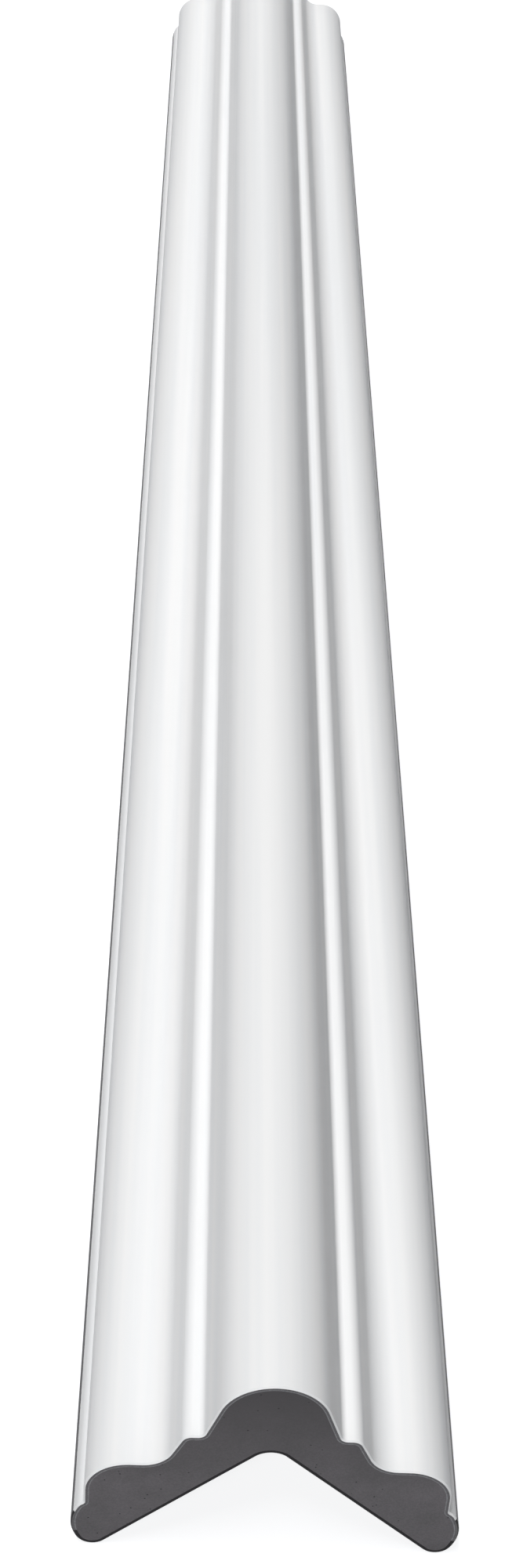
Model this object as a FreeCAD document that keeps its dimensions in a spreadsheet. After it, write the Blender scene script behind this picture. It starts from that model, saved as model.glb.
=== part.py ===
import FreeCAD, Part
import Sketcher
import math
import os

# A length of corner guard moulding, lying on its two rounded feet.
# The length runs along Y, the section is symmetrical about X = 0, and the
# square hollow that fits over the corner of a wall opens downwards.
# The sketch holds the right half of the section. It starts at the top of the
# centre bead, steps outwards and down to the foot, turns under the foot and
# runs back along the wall face to the centre line.

doc = FreeCAD.newDocument("CornerGuard")

# Driving dimensions, in millimetres and degrees.
SIZES = [
    ("length", 600.0, "length of the piece"),
    ("wall_corner_angle", 90.0, "angle between the two wall faces"),
    ("wall_corner_radius", 3.2, "round inside the hollow, over the arris of the wall"),
    ("bead_radius", 8.7, "centre bead"),
    ("bead_rise", 12.3, "narrow flats up to the top of the bead"),
    ("bead_draft", 19.0, "lean of the bead's flanks from upright"),
    ("bead_root_radius", 1.1, "small round between bead and narrow flat"),
    ("narrow_flat_width", 0.8, "flat beside the bead, between its two rounds"),
    ("narrow_flat_edge_radius", 1.8, "round on the outer edge of the narrow flat"),
    ("step_rise", 7.1, "broad faces up to the narrow flats"),
    ("step_draft", 24.0, "lean of the step from upright"),
    ("cove_radius", 4.6, "cove between step and broad face"),
    ("face_width", 1.9, "flat of the broad face, between cove and nosing"),
    ("nosing_rise", 9.8, "top of the foot up to the broad faces"),
    ("nosing_radius", 6.8, "big round at the outer edge of the face"),
    ("nosing_inset", 2.0, "nosing's side, in from the side of the foot"),
    ("quirk_radius", 0.6, "groove between nosing and foot"),
    ("foot_height", 10.9, "floor to the top of the foot's bead"),
    ("foot_radius", 2.7, "small rounds at the top and bottom of the foot"),
    ("foot_side_radius", 9.0, "gentle bulge of the foot's side"),
]

sheet = doc.addObject("Spreadsheet::Sheet", "Sizes")
for row, (alias, value, meaning) in enumerate(SIZES, start=1):
    sheet.set("A%d" % row, alias)
    sheet.set("B%d" % row, str(value))
    sheet.set("C%d" % row, meaning)
    sheet.setAlias("B%d" % row, alias)
doc.recompute()
size = {alias: float(sheet.get(alias)) for alias, value, meaning in SIZES}


def tangent(degrees):
    return math.tan(math.radians(degrees))


def polar(centre, radius, degrees):
    """Point on a circle, at an angle from +X."""
    angle = math.radians(degrees)
    return (centre[0] + radius * math.cos(angle), centre[1] + radius * math.sin(angle))


def vector(point):
    return FreeCAD.Vector(point[0], point[1], 0)


def arc(centre, radius, low_degrees, high_degrees):
    """Arc that runs anticlockwise from the low angle to the high one."""
    circle = Part.Circle(vector(centre), FreeCAD.Vector(0, 0, 1), radius)
    return Part.ArcOfCircle(circle, math.radians(low_degrees), math.radians(high_degrees))


def line(start, end):
    return Part.LineSegment(vector(start), vector(end))


def flank_round(start, lean, floor, radius):
    """Centre of the hollow round where a leaning flank runs out onto a level flat."""
    flank_foot = start[0] + (start[1] - floor) * tangent(lean)
    return (flank_foot + radius * tangent(45 - lean / 2), floor + radius)


def section_arcs():
    """The rounds of the half section, where the sizes put them."""
    face_level = size["foot_height"] + size["nosing_rise"]
    narrow_flat_level = face_level + size["step_rise"]
    top = narrow_flat_level + size["bead_rise"]
    bead_lean = size["bead_draft"]
    step_lean = size["step_draft"]
    half_corner = size["wall_corner_angle"] / 2

    bead_centre = (0, top - size["bead_radius"])
    bead_end = polar(bead_centre, size["bead_radius"], bead_lean)
    root_centre = flank_round(bead_end, bead_lean, narrow_flat_level, size["bead_root_radius"])
    edge_radius = size["narrow_flat_edge_radius"]
    edge_centre = (root_centre[0] + size["narrow_flat_width"], narrow_flat_level - edge_radius)
    edge_end = polar(edge_centre, edge_radius, step_lean)
    cove_centre = flank_round(edge_end, step_lean, face_level, size["cove_radius"])
    nosing_centre = (cove_centre[0] + size["face_width"], face_level - size["nosing_radius"])

    side = nosing_centre[0] + size["nosing_radius"]
    foot_side_centre = (side + size["nosing_inset"] - size["foot_side_radius"], size["foot_height"] / 2)
    small_to_big = size["foot_side_radius"] - size["foot_radius"]
    half_foot_straight = size["foot_height"] / 2 - size["foot_radius"]
    foot_angle = math.degrees(math.asin(half_foot_straight / small_to_big))
    foot_top_centre = polar(foot_side_centre, small_to_big, foot_angle)
    foot_low_centre = polar(foot_side_centre, small_to_big, -foot_angle)
    quirk_run = side + size["quirk_radius"] - foot_top_centre[0]
    quirk_reach = size["foot_radius"] + size["quirk_radius"]
    quirk_rise = math.sqrt(quirk_reach ** 2 - quirk_run ** 2)
    quirk_centre = (side + size["quirk_radius"], foot_top_centre[1] + quirk_rise)
    quirk_angle = math.degrees(math.acos(quirk_run / quirk_reach))

    wall_start = polar(foot_low_centre, size["foot_radius"], 180 + half_corner)
    wall_meeting = wall_start[1] + wall_start[0] / tangent(half_corner)
    corner_drop = size["wall_corner_radius"] / math.sin(math.radians(half_corner))
    corner_centre = (0, wall_meeting - corner_drop)

    return {
        "bead": arc(bead_centre, size["bead_radius"], bead_lean, 90),
        "bead_root": arc(root_centre, size["bead_root_radius"], 180 + bead_lean, 270),
        "edge": arc(edge_centre, edge_radius, step_lean, 90),
        "cove": arc(cove_centre, size["cove_radius"], 180 + step_lean, 270),
        "nosing": arc(nosing_centre, size["nosing_radius"], 0, 90),
        "quirk": arc(quirk_centre, size["quirk_radius"], 180, 180 + quirk_angle),
        "foot_top": arc(foot_top_centre, size["foot_radius"], foot_angle, quirk_angle),
        "foot_side": arc(foot_side_centre, size["foot_side_radius"], -foot_angle, foot_angle),
        "foot_low": arc(foot_low_centre, size["foot_radius"], 180 + half_corner, 360 - foot_angle),
        "corner": arc(corner_centre, size["wall_corner_radius"], half_corner, 90),
    }


# The outline in order. A hill is an arc that is entered at its far end, so it
# bulges out of the solid, and a hollow one bites in. A name in between is the
# straight that joins its two neighbours.
START, END, CENTRE = 1, 2, 3
HILL = (END, START)
HOLLOW = (START, END)
OUTLINE = [
    ("bead", HILL),
    ("bead_flank", None),
    ("bead_root", HOLLOW),
    ("narrow_flat", None),
    ("edge", HILL),
    ("step", None),
    ("cove", HOLLOW),
    ("broad_face", None),
    ("nosing", HILL),
    ("side", None),
    ("quirk", HOLLOW),
    ("foot_top", HILL),
    ("foot_side", HILL),
    ("foot_low", HILL),
    ("wall_face", None),
    ("corner", HOLLOW),
    ("centre_line", None),
]


def end_point(geometry, which):
    return geometry.StartPoint if which == START else geometry.EndPoint


def draw_outline(sketch):
    """Add the arcs and the straights between them, and join them."""
    arcs = section_arcs()
    number = {}
    way = {}
    for place, (name, turn) in enumerate(OUTLINE):
        if turn:
            geometry = arcs[name]
            way[name] = turn
        else:
            before, turn_before = OUTLINE[place - 1]
            after, turn_after = OUTLINE[(place + 1) % len(OUTLINE)]
            start = end_point(arcs[before], turn_before[1])
            geometry = line(start, end_point(arcs[after], turn_after[0]))
            way[name] = HOLLOW
        number[name] = sketch.addGeometry(geometry, False)

    names = [name for name, turn in OUTLINE]
    for name, after in zip(names, names[1:] + names[:1]):
        kind = "Coincident" if "centre_line" in (name, after) else "Tangent"
        join = Sketcher.Constraint(kind, number[name], way[name][1], number[after], way[after][0])
        sketch.addConstraint(join)
    return number


def bind(sketch, constraint, name, expression):
    """Add a named dimension to the sketch and tie it to the sheet."""
    sketch.renameConstraint(sketch.addConstraint(constraint), name)
    sketch.setExpression("Constraints." + name, expression)


def size_outline(sketch, number):
    """Level and upright lines, and a dimension for every size of the section."""
    origin = (-1, START)
    upright_axis = -2
    for piece, point in (
        ("centre_line", START),
        ("centre_line", END),
        ("bead", CENTRE),
        ("corner", CENTRE),
    ):
        sketch.addConstraint(Sketcher.Constraint("PointOnObject", number[piece], point, upright_axis))
    for piece in ("narrow_flat", "broad_face"):
        sketch.addConstraint(Sketcher.Constraint("Horizontal", number[piece]))
    sketch.addConstraint(Sketcher.Constraint("Vertical", number["side"]))
    sketch.addConstraint(Sketcher.Constraint("Equal", number["foot_top"], number["foot_low"]))

    for piece, alias in (
        ("bead", "bead_radius"),
        ("bead_root", "bead_root_radius"),
        ("edge", "narrow_flat_edge_radius"),
        ("cove", "cove_radius"),
        ("nosing", "nosing_radius"),
        ("quirk", "quirk_radius"),
        ("foot_low", "foot_radius"),
        ("foot_side", "foot_side_radius"),
        ("corner", "wall_corner_radius"),
    ):
        radius = Sketcher.Constraint("Radius", number[piece], size[alias])
        bind(sketch, radius, alias, "Sizes." + alias)

    for piece, alias in (("narrow_flat", "narrow_flat_width"), ("broad_face", "face_width")):
        width = Sketcher.Constraint("DistanceX", number[piece], START, number[piece], END, size[alias])
        bind(sketch, width, alias, "Sizes." + alias)
    centre_to_side = size["foot_side_radius"] - size["nosing_inset"]
    inset = Sketcher.Constraint(
        "DistanceX", number["foot_side"], CENTRE, number["side"], START, centre_to_side)
    bind(sketch, inset, "centre_to_side", "Sizes.foot_side_radius - Sizes.nosing_inset")

    foot_rests = Sketcher.Constraint("DistanceY", *origin, number["foot_low"], CENTRE, size["foot_radius"])
    bind(sketch, foot_rests, "foot_rests_on_floor", "Sizes.foot_radius")
    foot_half = Sketcher.Constraint(
        "DistanceY", *origin, number["foot_side"], CENTRE, size["foot_height"] / 2)
    bind(sketch, foot_half, "foot_half", "Sizes.foot_height / 2")
    foot_top = Sketcher.Constraint(
        "DistanceY", *origin, number["foot_top"], CENTRE, size["foot_height"] - size["foot_radius"])
    bind(sketch, foot_top, "foot_top", "Sizes.foot_height - Sizes.foot_radius")
    face_level = Sketcher.Constraint(
        "DistanceY", *origin, number["broad_face"], START, size["foot_height"] + size["nosing_rise"])
    bind(sketch, face_level, "face_level", "Sizes.foot_height + Sizes.nosing_rise")
    step_rise = Sketcher.Constraint(
        "DistanceY", number["broad_face"], START, number["narrow_flat"], END, size["step_rise"])
    bind(sketch, step_rise, "step_rise", "Sizes.step_rise")
    bead_rise = Sketcher.Constraint(
        "DistanceY", number["narrow_flat"], START, number["bead"], END, size["bead_rise"])
    bind(sketch, bead_rise, "bead_rise", "Sizes.bead_rise")

    # The lines' angles are measured from the X axis, downwards for the flanks.
    for piece, degrees, expression in (
        ("bead_flank", size["bead_draft"] - 90, "Sizes.bead_draft - 90"),
        ("step", size["step_draft"] - 90, "Sizes.step_draft - 90"),
        ("wall_face", 90 + size["wall_corner_angle"] / 2, "90 + Sizes.wall_corner_angle / 2"),
    ):
        angle = Sketcher.Constraint("Angle", number[piece], math.radians(degrees))
        bind(sketch, angle, piece + "_angle", expression)


def origin_plane(body, role):
    return [feature for feature in body.Origin.OriginFeatures if feature.Role == role][0]


# The right half, drawn on the upright plane across the length and padded both ways.
moulding = doc.addObject("PartDesign::Body", "Moulding")
moulding.Label = "corner_guard_moulding"
section = moulding.newObject("Sketcher::SketchObject", "HalfSection")
section.AttachmentSupport = (origin_plane(moulding, "XZ_Plane"), [""])
section.MapMode = "FlatFace"
doc.recompute()
size_outline(section, draw_outline(section))
doc.recompute()

right_half = moulding.newObject("PartDesign::Pad", "RightHalf")
right_half.Profile = section
right_half.Midplane = True
right_half.setExpression("Length", "Sizes.length")
doc.recompute()

# The left half mirrors it across the centre line.
both_halves = moulding.newObject("PartDesign::Mirrored", "BothHalves")
both_halves.Originals = [right_half]
both_halves.MirrorPlane = (origin_plane(moulding, "YZ_Plane"), [""])
both_halves.Refine = True
moulding.Tip = both_halves
moulding.Placement = FreeCAD.Placement(FreeCAD.Vector(0, 0, 0), FreeCAD.Rotation())
doc.recompute()

for item in doc.Objects:
    if "Invalid" in item.State or "Error" in item.State:
        raise RuntimeError("%s is not built: %s" % (item.Name, item.State))
if section.solve() != 0 or not section.FullyConstrained:
    raise RuntimeError("the half section has free dimensions")
shape = moulding.Shape
if shape.isNull() or not shape.isValid() or len(shape.Solids) != 1:
    raise RuntimeError(moulding.Label + " is not one valid solid")

os.makedirs("parts", exist_ok=True)
shape.exportStep("parts/%s.step" % moulding.Label)
box = shape.BoundBox
print(moulding.Label, "volume %.0f mm3" % shape.Volume, "faces", len(shape.Faces))
print("box %.2f x %.2f x %.2f mm, lowest %.3f" % (box.XLength, box.YLength, box.ZLength, box.ZMin))
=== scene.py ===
# %% [markdown]
# A corner guard moulding is a strip of trim that is glued over the outside
# corner of a wall, where two walls meet square. Its back is a square hollow
# and its face is moulded: a bead in the middle, then on each side a narrow
# flat, a cove, a broad face with a rounded nosing, and a small foot that
# touches the wall. It is extruded, which means pushed through a die, so one
# section runs the whole length and both ends are saw cuts.
# This lesson draws that section once, pulls it out to its length and then
# gives the face, the cut ends and the back the surfaces that they have.

# %% Load the frame and keep its box
import math
import bpy
from mathutils import Matrix, Vector


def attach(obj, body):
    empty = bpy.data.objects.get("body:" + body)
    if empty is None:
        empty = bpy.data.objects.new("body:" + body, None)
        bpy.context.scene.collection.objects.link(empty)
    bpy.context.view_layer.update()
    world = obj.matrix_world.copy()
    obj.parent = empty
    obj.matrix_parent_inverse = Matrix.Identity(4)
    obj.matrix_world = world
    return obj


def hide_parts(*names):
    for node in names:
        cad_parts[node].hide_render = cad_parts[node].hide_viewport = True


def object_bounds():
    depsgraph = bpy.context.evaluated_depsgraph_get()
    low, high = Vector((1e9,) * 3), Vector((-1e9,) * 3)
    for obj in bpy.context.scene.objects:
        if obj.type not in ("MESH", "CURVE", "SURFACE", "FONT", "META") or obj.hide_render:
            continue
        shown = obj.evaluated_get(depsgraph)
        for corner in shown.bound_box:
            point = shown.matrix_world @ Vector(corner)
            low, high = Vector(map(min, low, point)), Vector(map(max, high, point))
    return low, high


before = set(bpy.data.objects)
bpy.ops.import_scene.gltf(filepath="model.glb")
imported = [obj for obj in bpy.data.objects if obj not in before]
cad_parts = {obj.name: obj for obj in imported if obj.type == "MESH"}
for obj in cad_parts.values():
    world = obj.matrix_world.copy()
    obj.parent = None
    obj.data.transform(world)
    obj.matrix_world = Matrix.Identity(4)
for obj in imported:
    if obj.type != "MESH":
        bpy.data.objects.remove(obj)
cad_low, cad_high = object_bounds()
MM = 0.001
length = cad_high.y - cad_low.y
print("frame box in mm:", [round(side / MM, 2) for side in cad_high - cad_low])

# %% [markdown]
# The camera comes first, because everything is judged through it. The photo
# looks down along the length from a little to the left of the piece, with a
# lens long enough to keep the far end nearly half as wide as the near one.
# The picture is tall, so the sensor's 36 mm lie along its height. The pitch,
# heading and roll turn the camera one after the other, which is easier to
# read than three Euler numbers.

# %% The camera
CAMERA_PLACE = Vector((-18.2, -218.5, 325.9))
CAMERA_PITCH = 38.47
CAMERA_HEADING = 2.58
CAMERA_ROLL = 3.89
FOCAL_LENGTH = 55.12


def turn(degrees, axis):
    return Matrix.Rotation(math.radians(degrees), 4, axis)


camera_data = bpy.data.cameras.new("photo_camera")
camera_data.lens = FOCAL_LENGTH
camera = bpy.data.objects.new("photo_camera", camera_data)
bpy.context.scene.collection.objects.link(camera)
near_end = Vector((0, cad_low.y, 0))
camera.matrix_world = (
    Matrix.Translation(near_end + CAMERA_PLACE * MM)
    @ turn(-CAMERA_HEADING, "Z")
    @ turn(90 - CAMERA_PITCH, "X")
    @ turn(CAMERA_ROLL, "Z")
)
bpy.context.scene.camera = camera
print("camera at", [round(value, 4) for value in camera.location])

# %% [markdown]
# The section is symmetrical, so only its right half is drawn. These are the
# sizes that a die maker would write on the drawing, in millimetres and
# degrees. A lean is how far a flank leans out from upright.

# %% Sizes of the section
BEAD_RADIUS, BEAD_RISE, BEAD_LEAN = 8.7, 12.3, 19.0
ROOT_RADIUS = 1.1
NARROW_FLAT_WIDTH, NARROW_FLAT_EDGE_RADIUS = 0.8, 1.8
STEP_RISE, STEP_LEAN = 7.1, 24.0
COVE_RADIUS = 4.6
FACE_WIDTH = 1.9
NOSING_RISE, NOSING_RADIUS, NOSING_INSET = 9.8, 6.8, 2.0
QUIRK_RADIUS = 0.6
FOOT_HEIGHT, FOOT_RADIUS, FOOT_SIDE_RADIUS = 10.9, 2.7, 9.0
WALL_CORNER_RADIUS = 3.2
WALL_FACE_LEAN = 45.0

face_level = FOOT_HEIGHT + NOSING_RISE
narrow_flat_level = face_level + STEP_RISE
bead_top = narrow_flat_level + BEAD_RISE
print("section", round(bead_top, 2), "mm high")

# %% [markdown]
# A section of straights and tangent arcs can be drawn as a pen would draw it.
# In Blender the pen is one vertex: extruding it draws a straight, and spinning
# it about a centre draws an arc. The pen keeps its heading, so that each stroke
# starts in the direction in which the last one ended, and all joins are
# smooth. Heading 0 points outwards, to +X, and 90 points down.

# %% A pen that draws by extruding and spinning a vertex
ARC_STEP = 4.0
ARRIS = 0.25
front = cad_low.y + ARRIS * MM


class Pen:
    """The selected vertex of the mesh in edit mode, with the way that it is heading."""

    def __init__(self, x, z):
        self.x, self.z, self.heading = x, z, 0.0

    def ahead(self):
        angle = math.radians(self.heading)
        return math.cos(angle), -math.sin(angle)

    def straight(self, distance):
        """A straight stroke, by extruding the vertex."""
        across, up = self.ahead()
        move = (across * distance * MM, 0, up * distance * MM)
        bpy.ops.mesh.extrude_region_move(TRANSFORM_OT_translate={"value": move})
        self.x += across * distance
        self.z += up * distance

    def straight_down_to(self, level):
        self.straight((self.z - level) / math.sin(math.radians(self.heading)))

    def bend(self, radius, new_heading):
        """An arc, by spinning the vertex about a centre square to its heading.

        The spin operator counts its angle against the right-hand rule."""
        swing = new_heading - self.heading
        side = math.copysign(1.0, swing)
        across, up = self.ahead()
        centre_x = self.x + side * radius * up
        centre_z = self.z - side * radius * across
        bpy.ops.mesh.spin(
            steps=max(3, round(abs(swing) / ARC_STEP)),
            angle=-math.radians(swing),
            center=(centre_x * MM, front, centre_z * MM),
            axis=(0, 1, 0),
        )
        self.heading = new_heading
        across, up = self.ahead()
        self.x = centre_x - side * radius * up
        self.z = centre_z + side * radius * across


def drop(radius, heading):
    """How far an arc comes down between level and a heading."""
    return radius * (1 - math.cos(math.radians(heading)))


# %% [markdown]
# The pen starts on top of the bead as a plane that is merged to its centre. It
# steps down and outwards to the foot. Two strokes need a little geometry. The
# foot is two small rounds with a flatter bulge between them, and the small
# rounds sit inside the big circle, so the heading at which they meet comes
# from a right-angled triangle. The quirk, the sharp groove over the foot, is a
# tiny arc that touches the foot's top round from outside.

# %% Draw the right half of the section
bpy.ops.object.select_all(action="DESELECT")
bpy.ops.mesh.primitive_plane_add(size=MM, location=(0, front, bead_top * MM))
moulding = bpy.context.active_object
moulding.name = moulding.data.name = "moulding"
bpy.ops.object.transform_apply(location=True)
bpy.ops.object.mode_set(mode="EDIT")
bpy.ops.mesh.merge(type="CENTER")

pen = Pen(0, bead_top)
bead_flank = 90 - BEAD_LEAN
pen.bend(BEAD_RADIUS, bead_flank)
pen.straight_down_to(narrow_flat_level + drop(ROOT_RADIUS, bead_flank))
pen.bend(ROOT_RADIUS, 0)
pen.straight(NARROW_FLAT_WIDTH)
step_flank = 90 - STEP_LEAN
pen.bend(NARROW_FLAT_EDGE_RADIUS, step_flank)
pen.straight_down_to(face_level + drop(COVE_RADIUS, step_flank))
pen.bend(COVE_RADIUS, 0)
pen.straight(FACE_WIDTH)
pen.bend(NOSING_RADIUS, 90)

half_foot = FOOT_HEIGHT / 2 - FOOT_RADIUS
big_less_small = FOOT_SIDE_RADIUS - FOOT_RADIUS
foot_swing = math.degrees(math.asin(half_foot / big_less_small))
small_round_x = pen.x + NOSING_INSET - FOOT_SIDE_RADIUS
small_round_x += big_less_small * math.cos(math.radians(foot_swing))
quirk_reach = FOOT_RADIUS + QUIRK_RADIUS
quirk_run = pen.x + QUIRK_RADIUS - small_round_x
quirk_swing = math.degrees(math.acos(quirk_run / quirk_reach))
quirk_rise = math.sqrt(quirk_reach ** 2 - quirk_run ** 2)
pen.straight_down_to(FOOT_HEIGHT - FOOT_RADIUS + quirk_rise)
pen.bend(QUIRK_RADIUS, 90 - quirk_swing)
pen.bend(FOOT_RADIUS, 90 - foot_swing)
pen.bend(FOOT_SIDE_RADIUS, 90 + foot_swing)
pen.bend(FOOT_RADIUS, 180 + WALL_FACE_LEAN)

wall_line = pen.x + pen.z
corner_x = WALL_CORNER_RADIUS * math.sin(math.radians(WALL_FACE_LEAN))
pen.straight((pen.x - corner_x) / math.cos(math.radians(WALL_FACE_LEAN)))
pen.bend(WALL_CORNER_RADIUS, 180)
bpy.ops.object.mode_set(mode="OBJECT")
print("the pen ends at x", round(abs(pen.x), 4), "z", round(pen.z, 3), "mm")
print(len(moulding.data.vertices), "points in the half section")

# %% [markdown]
# A Mirror modifier makes the other half and joins it at the centre line. The
# closed outline is filled with one face, and that face is extruded along the
# length, as the die does it. After a mirror the faces can point inwards, so
# the normals are worked out again.

# %% Mirror, fill and pull out to the length
WELD_DISTANCE = 0.01
mirror = moulding.modifiers.new("other_half", "MIRROR")
mirror.merge_threshold = WELD_DISTANCE * MM
bpy.ops.object.modifier_apply(modifier=mirror.name)
bpy.ops.object.mode_set(mode="EDIT")
bpy.ops.mesh.select_all(action="SELECT")
bpy.ops.mesh.edge_face_add()
pull = (0, length - 2 * ARRIS * MM, 0)
bpy.ops.mesh.extrude_region_move(TRANSFORM_OT_translate={"value": pull})
bpy.ops.mesh.select_all(action="SELECT")
bpy.ops.mesh.normals_make_consistent(inside=False)
bpy.ops.object.mode_set(mode="OBJECT")
print(len(moulding.data.polygons), "faces after the extrusion")

# %% [markdown]
# Every colour is written as the hex value that a colour picker shows, which is
# sRGB, and one function turns it to the linear values that Blender mixes. One
# more function adds a node with its settings and links, so that a material
# reads as a short recipe. All patterns use Object coordinates, which are metres
# here, and their scale is one over a real size.

# %% Helpers for materials


def linear(hex_colour):
    """An sRGB hex value as linear red, green, blue and alpha."""
    channels = [int(hex_colour[place:place + 2], 16) / 255 for place in (1, 3, 5)]
    dark_end = 0.04045
    return [
        ((value + 0.055) / 1.055) ** 2.4 if value > dark_end else value / 12.92
        for value in channels
    ] + [1.0]


def add_node(material, kind, settings=None, links=None):
    """Add a node, set its own properties or its sockets, and link other nodes to it."""
    node = material.node_tree.nodes.new(kind)
    for name, value in (settings or {}).items():
        if isinstance(name, int) or name in node.inputs:
            node.inputs[name].default_value = value
        else:
            setattr(node, name, value)
    for name, output in (links or {}).items():
        material.node_tree.links.new(output, node.inputs[name])
    return node


def new_material(name):
    material = bpy.data.materials.new(name)
    material.use_nodes = True
    material.node_tree.nodes.clear()
    return material


def in_units_of(material, across_mm, along_mm):
    """Object coordinates counted in a pattern's size, across and along the extrusion."""
    place = add_node(material, "ShaderNodeTexCoord")
    scale = (1 / (across_mm * MM), 1 / (along_mm * MM), 1 / (across_mm * MM))
    mapping = add_node(
        material, "ShaderNodeMapping", {"Scale": scale}, {"Vector": place.outputs["Object"]})
    return mapping.outputs["Vector"]


def noise(material, across_mm, along_mm, detail=2.0):
    pattern = add_node(
        material, "ShaderNodeTexNoise", {"Scale": 1.0, "Detail": detail},
        {"Vector": in_units_of(material, across_mm, along_mm)})
    return pattern.outputs["Fac"]


def spread(material, pattern, low_value, high_value, pattern_low=0.35, pattern_high=0.65):
    """Turn a pattern's middle range into values from low to high."""
    mapped = add_node(
        material, "ShaderNodeMapRange",
        {"From Min": pattern_low, "From Max": pattern_high, "To Min": low_value, "To Max": high_value},
        {"Value": pattern})
    return mapped.outputs["Result"]


def two_colours(material, factor, first, second):
    mix = add_node(
        material, "ShaderNodeMix", {"data_type": "RGBA", 6: linear(first), 7: linear(second)},
        {0: factor})
    return mix.outputs[2]


def laid_over(material, under, factor, colour):
    """Lay one more colour over what is there, as far as the factor says."""
    mix = add_node(
        material, "ShaderNodeMix", {"data_type": "RGBA", 7: linear(colour)}, {0: factor, 6: under})
    return mix.outputs[2]


def relief(material, height, depth_mm, strength, under=None):
    links = {"Height": height}
    if under:
        links["Normal"] = under
    bump = add_node(
        material, "ShaderNodeBump", {"Strength": strength, "Distance": depth_mm * MM}, links)
    return bump.outputs["Normal"]


def surface(material, settings, links):
    shader = add_node(material, "ShaderNodeBsdfPrincipled", settings, links)
    add_node(material, "ShaderNodeOutputMaterial", links={"Surface": shader.outputs["BSDF"]})
    return material


# %% [markdown]
# The face is white satin plastic, a thin skin that goes through the die along
# with the core. The die polishes it and leaves very faint lines along the
# length. They are a few tenths of a millimetre apart, too shallow to see as
# relief, but they break up the highlights into soft streaks. The finest
# pattern is the slight orange peel of plastic that sets in air. A satin skin
# scatters most of its gloss, so its roughness is high and its specular low.

# %% White satin plastic, extruded
DIE_LINE, DIE_LINE_LENGTH, DIE_LINE_DEPTH = 0.35, 90.0, 0.01
SOFT_STREAK, SOFT_STREAK_LENGTH = 2.5, 260.0
ORANGE_PEEL, ORANGE_PEEL_DEPTH = 0.9, 0.02


def white_satin_plastic():
    material = new_material("white_satin_plastic_extruded")
    streaks = noise(material, SOFT_STREAK, SOFT_STREAK_LENGTH)
    die_lines = noise(material, DIE_LINE, DIE_LINE_LENGTH, detail=3.0)
    peel = noise(material, ORANGE_PEEL, ORANGE_PEEL, detail=1.0)
    lined = relief(material, die_lines, DIE_LINE_DEPTH, strength=0.1)
    return surface(material, {"IOR": 1.5, "Specular IOR Level": 0.04}, {
        "Base Color": two_colours(material, spread(material, streaks, 0.0, 1.0), "#E7E8E9", "#ECECEC"),
        "Roughness": spread(material, die_lines, 0.38, 0.48),
        "Normal": relief(material, peel, ORANGE_PEEL_DEPTH, strength=0.1, under=lined),
    })


# %% [markdown]
# The core is a dark grey foamed plastic. Sawn across, it shows a matte surface
# of tiny cut cells, cloudy patches and a few open pores that are darker. From
# a little over the feet up to the top of the bead, the cut is coloured darker
# and darker. The same plastic is the bare back of the moulding, where it slid
# along the die: dense and so darker, smoother, and lined along its length.
# Where the cut meets the bare back, its edge is painted nearly black as painted
# shade. The two limits of a pore are shares of the spacing: inside the first
# it is open, and past the second the plastic is whole.

# %% Dark grey foamed plastic, sawn and extruded
CELL, CELL_DEPTH, CLOUD = 0.28, 0.05, 6.0
PORE_SPACING, PORE_INSIDE, PORE_OUTSIDE = 1.7, 0.05, 0.1
BACK_LINE, BACK_LINE_LENGTH, BACK_LINE_DEPTH = 0.5, 120.0, 0.04
DARKER_ABOVE = 15.5


def sawn_foam_plastic():
    material = new_material("grey_foamed_plastic_sawn")
    cells = noise(material, CELL, CELL)
    clouds = noise(material, CLOUD, CLOUD, detail=3.0)
    body = two_colours(material, spread(material, clouds, 0.0, 1.0), "#5A585A", "#636063")
    grained = add_node(
        material, "ShaderNodeMix", {"data_type": "RGBA", "blend_type": "OVERLAY", 0: 0.2},
        {6: body, 7: spread(material, cells, 0.3, 0.7)})
    place = add_node(
        material, "ShaderNodeSeparateXYZ", links={"Vector": in_units_of(material, 1.0, 1.0)})
    # The cut is coloured darker from 15.5 mm over the floor up to the top of the bead.
    towards_the_top = spread(material, place.outputs["Z"], 0.0, 1.0, DARKER_ABOVE, bead_top)
    darker_towards_top = laid_over(material, grained.outputs[2], towards_the_top, "#454345")
    pores = add_node(
        material, "ShaderNodeTexVoronoi", {"Scale": 1.0},
        {"Vector": in_units_of(material, PORE_SPACING, PORE_SPACING)})
    open_pores = spread(material, pores.outputs["Distance"], 1.0, 0.0, PORE_INSIDE, PORE_OUTSIDE)
    return surface(material, {"Roughness": 0.8, "IOR": 1.5, "Specular IOR Level": 0.3}, {
        "Base Color": laid_over(material, darker_towards_top, open_pores, "#2D2C2F"),
        "Normal": relief(material, cells, CELL_DEPTH, strength=0.3),
    })


def drawn_foam_plastic():
    material = new_material("grey_foamed_plastic_extruded")
    lines = noise(material, BACK_LINE, BACK_LINE_LENGTH, detail=3.0)
    return surface(material, {"IOR": 1.5, "Specular IOR Level": 0.15}, {
        "Base Color": two_colours(material, spread(material, lines, 0.0, 1.0), "#363537", "#424143"),
        "Roughness": spread(material, lines, 0.45, 0.6),
        "Normal": relief(material, lines, BACK_LINE_DEPTH, strength=0.3),
    })


# Painted shade: a nearly black colour for the cut's lower edges, where shade falls.
def painted_shade_edge_plastic():
    material = new_material("grey_foamed_plastic_painted_shade_edge")
    smear = noise(material, CELL, CELL)
    return surface(material, {"IOR": 1.5, "Specular IOR Level": 0.1}, {
        "Base Color": two_colours(material, spread(material, smear, 0.0, 1.0), "#151416", "#1E1D1F"),
        "Roughness": spread(material, smear, 0.45, 0.6),
    })
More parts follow.
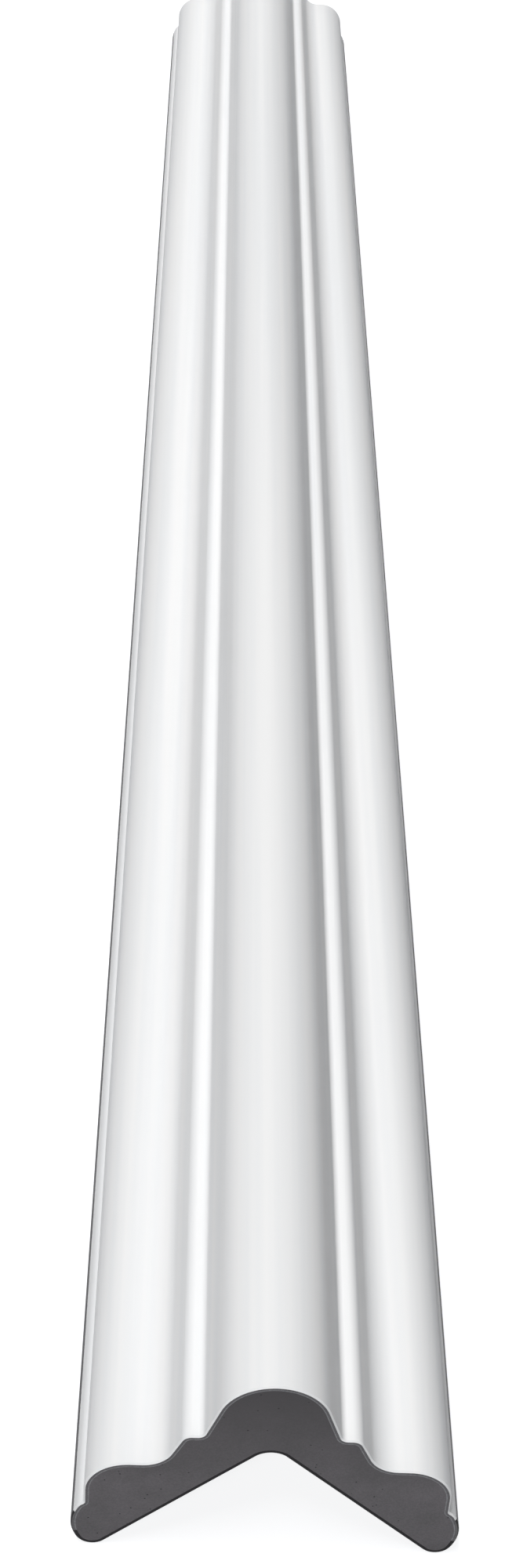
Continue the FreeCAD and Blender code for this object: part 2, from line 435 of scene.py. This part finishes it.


# %% [markdown]
# The cut edge of the skin is white plastic too, but the saw smears the dark
# core over it. On its inner side, a paler grey hairline is a painted highlight
# along the slight round of the cut's edge. One function makes both, with its
# own two colours each time.

# %% White plastic, sawn, and the painted highlight line
def sawn_edge_and_painted_highlight(name, first, second):
    material = new_material(name)
    smear = noise(material, CELL, CELL)
    return surface(material, {"Roughness": 0.6, "IOR": 1.5, "Specular IOR Level": 0.3}, {
        "Base Color": two_colours(material, spread(material, smear, 0.0, 1.0), first, second),
    })


# %% [markdown]
# The long faces are sorted by where they are. The two straight wall faces and
# the round between them lie on the lines where x + z is the wall line's height,
# and all of the moulded face lies outside them. The white skin ends on the
# outer side of each foot, a little above where the foot is widest. Below that
# the plastic is bare, as on the back, and from above it shows as a thin dark
# line along each side. The skin has run a little to the left, so it comes down
# just over half a millimetre further there. A face is part of a cut end if its
# normal points along the length.

# %% Give the face and the back their plastics
WHITE, BACK, SMEARED, PAINTED_HIGHLIGHT_LINE, CORE, PAINTED_SHADE_EDGE = range(6)
WALL_FACE_SLACK = 0.3
CUT_END_NORMAL = 0.99
SKIN_ENDS_LEFT, SKIN_ENDS_RIGHT = 8.2, 8.8
for finish in (
    white_satin_plastic(),
    drawn_foam_plastic(),
    sawn_edge_and_painted_highlight("white_plastic_sawn_and_smeared", "#525153", "#5D5C5E"),
    # The paler hairline is a painted highlight, not the plastic's own colour.
    sawn_edge_and_painted_highlight("white_plastic_sawn", "#6C6C6F", "#808083"),
    sawn_foam_plastic(),
    painted_shade_edge_plastic(),
):
    moulding.data.materials.append(finish)


def pick_faces(wanted):
    """Select only the faces for which the test is true, and stay in edit mode."""
    bpy.ops.object.mode_set(mode="EDIT")
    bpy.ops.mesh.select_mode(type="FACE")
    bpy.ops.mesh.select_all(action="DESELECT")
    bpy.ops.object.mode_set(mode="OBJECT")
    for face in moulding.data.polygons:
        face.select = wanted(face)
    count = sum(face.select for face in moulding.data.polygons)
    bpy.ops.object.mode_set(mode="EDIT")
    return count


def coat(finish):
    """Give the selected faces the material in this slot."""
    moulding.active_material_index = finish
    bpy.ops.object.material_slot_assign()


def is_cut(face):
    return abs(face.normal.y) > CUT_END_NORMAL


def skin_ends(face):
    """How high over the floor the skin ends on this face's side."""
    return SKIN_ENDS_LEFT if face.center.x < 0 else SKIN_ENDS_RIGHT


def is_low(face, margin, level):
    """Whether a face lies on the wall's side, with some margin, or under this level of the foot."""
    reach = (abs(face.center.x) + face.center.z) / MM
    return reach < wall_line + margin or face.center.z / MM < level


def is_bare(face):
    return not is_cut(face) and is_low(face, WALL_FACE_SLACK, skin_ends(face))


print(pick_faces(lambda face: not is_cut(face)), "long faces")
coat(WHITE)
print(pick_faces(is_bare), "bare faces")
coat(BACK)

# %% [markdown]
# No sawn edge is perfectly sharp. The saw leaves an arris a quarter of a
# millimetre wide, and that is what outlines the cut: it is bright along the
# white face, and along the back it is painted nearly black as painted shade. An
# inset with some depth makes it, because the end face shrinks and moves
# outwards at once. Two flat insets then mark off the cut edge of the skin and
# its paler hairline, which is a painted highlight along the slight round of
# the cut's edge. An inset leaves the inner face selected, so each time the part
# that is left is coated with what comes next, and the ring behind it keeps what
# it had. Where there is no skin, the arris gets the painted shade, and along
# the wall and under the foot the rings too, so these are put right at the end.
# Up the side of the foot the rings run on to where the skin begins. The
# normals of the arris lie half-way between those of the long faces and those
# of the cut ends, so a lower limit finds it together with the rings.

# %% The cut ends
SMEARED_EDGE, PALE_LINE = 0.36, 0.18
ARRIS_NORMAL = 0.5
RINGS_SHADED_BELOW = FOOT_HEIGHT / 3
SMOOTH_UP_TO = math.radians(20)
DIAGONAL = math.sqrt(2)

print(pick_faces(is_cut), "cut ends")
bpy.ops.mesh.inset(thickness=ARRIS * MM, depth=ARRIS * MM)
coat(SMEARED)
bpy.ops.mesh.inset(thickness=SMEARED_EDGE * MM, depth=0)
coat(PAINTED_HIGHLIGHT_LINE)
bpy.ops.mesh.inset(thickness=PALE_LINE * MM, depth=0)
coat(CORE)
edge_width = (ARRIS + SMEARED_EDGE + PALE_LINE) * DIAGONAL


def is_painted_shade_edge(face):
    """Whether a face of the rings or the arris lies where there is no skin, and gets the painted
    shade.
    """
    if face.material_index == CORE or abs(face.normal.y) < ARRIS_NORMAL:
        return False
    return is_low(face, edge_width, RINGS_SHADED_BELOW if is_cut(face) else skin_ends(face))


print(pick_faces(is_painted_shade_edge), "edge faces given painted shade")
# These edge faces get the nearly black painted shade.
coat(PAINTED_SHADE_EDGE)
bpy.ops.object.mode_set(mode="OBJECT")
bpy.ops.object.shade_smooth_by_angle(angle=SMOOTH_UP_TO)
bpy.ops.object.select_all(action="DESELECT")
print(len(moulding.data.polygons), "faces in all")

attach(moulding, "root")
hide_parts("corner_guard_moulding")

# %% [markdown]
# The moulding lies on its feet on a plain floor. The floor's own colour is a
# soft grey, so that it throws less light back at the moulding's sides and
# their shades stay clear. For the rays that the camera, gloss and glass see,
# light is added, so that the floor comes out white. Near the moulding it is
# only as much as leaves a soft shadow, and further out, where the lamps get
# weaker, it grows to full white. The world behind it does the same.

# %% Floor and world
FLOOR_SIZE = 8.0
FLOOR_GREY = "#AEB0B4"
LIFT_NEAR, NEAR = 0.76, 0.5
LIFT_FAR, FAR = 1.0, 2.5
WORLD_LIGHT = 0.02


def seen_directly(tree):
    """One for rays that the camera, a reflection or glass sends out, and nought for the rest."""
    path = tree.nodes.new("ShaderNodeLightPath")
    total = path.outputs["Is Camera Ray"]
    for ray in ("Is Glossy Ray", "Is Transmission Ray"):
        both = tree.nodes.new("ShaderNodeMath")
        both.operation = "MAXIMUM"
        tree.links.new(total, both.inputs[0])
        tree.links.new(path.outputs[ray], both.inputs[1])
        total = both.outputs[0]
    return total


def pale_floor():
    material = new_material("pale_studio_floor")
    place = add_node(material, "ShaderNodeTexCoord")
    distance = add_node(
        material, "ShaderNodeVectorMath", {"operation": "LENGTH"}, {0: place.outputs["Object"]})
    amount = spread(material, distance.outputs["Value"], LIFT_NEAR, LIFT_FAR, NEAR, FAR)
    lift = add_node(
        material, "ShaderNodeMath", {"operation": "MULTIPLY"},
        {0: seen_directly(material.node_tree), 1: amount})
    glow = add_node(
        material, "ShaderNodeEmission", {"Color": (1, 1, 1, 1)}, {"Strength": lift.outputs[0]})
    paint = add_node(material, "ShaderNodeBsdfDiffuse", {"Color": linear(FLOOR_GREY)})
    both = add_node(
        material, "ShaderNodeAddShader", links={0: glow.outputs[0], 1: paint.outputs[0]})
    add_node(material, "ShaderNodeOutputMaterial", links={"Surface": both.outputs[0]})
    return material


bpy.ops.mesh.primitive_plane_add(size=FLOOR_SIZE, location=(0, 0, 0))
floor = bpy.context.active_object
floor.name = "studio_floor"
floor.data.materials.append(pale_floor())

world = bpy.data.worlds.new("studio")
bpy.context.scene.world = world
world.use_nodes = True
background = world.node_tree.nodes["Background"]
background.inputs["Color"].default_value = (1, 1, 1, 1)
strength = world.node_tree.nodes.new("ShaderNodeMapRange")
strength.inputs["To Min"].default_value = WORLD_LIGHT
strength.inputs["To Max"].default_value = 1.0
world.node_tree.links.new(seen_directly(world.node_tree), strength.inputs["Value"])
world.node_tree.links.new(strength.outputs["Result"], background.inputs["Strength"])

# %% [markdown]
# The light is one row of narrow softboxes over the moulding, front, top and
# back. Long and narrow boxes that run along the piece give each moulded band a
# soft but clear shade. The row leans a little to the left, and that is what
# shapes the piece: what faces up is white, and each flank turns grey as it
# turns away, the right ones more than the left ones. A lamp's share is how
# brightly it alone would show a white surface that faces it.

# %% Softboxes
LEAN_LEFT = 9.5
BOX_WIDTH = 0.6
BOX_DISTANCE = 4.0


def softbox(name, height_angle, box_length, share):
    """A long lamp that looks at the middle of the moulding from a height angle round the X axis."""
    lamp_data = bpy.data.lights.new(name, "AREA")
    lamp_data.shape = "RECTANGLE"
    lamp_data.size, lamp_data.size_y = BOX_WIDTH, box_length
    lamp_data.energy = share * (math.pi * BOX_DISTANCE) ** 2
    lamp = bpy.data.objects.new(name, lamp_data)
    bpy.context.scene.collection.objects.link(lamp)
    lamp.matrix_world = (
        turn(-LEAN_LEFT, "Y") @ turn(90 - height_angle, "X")
        @ Matrix.Translation((0, 0, BOX_DISTANCE))
    )
    return lamp


softbox("front_softbox", 38.0, 2.0, 0.5)
softbox("top_softbox", 90.0, 4.0, 0.66)
softbox("back_softbox", 142.0, 2.0, 0.2)

# %% [markdown]
# The last cell keeps Blender's plain Standard view, so that a colour shows as
# it is written.

# %% View
bpy.context.scene.view_settings.view_transform = "Standard"
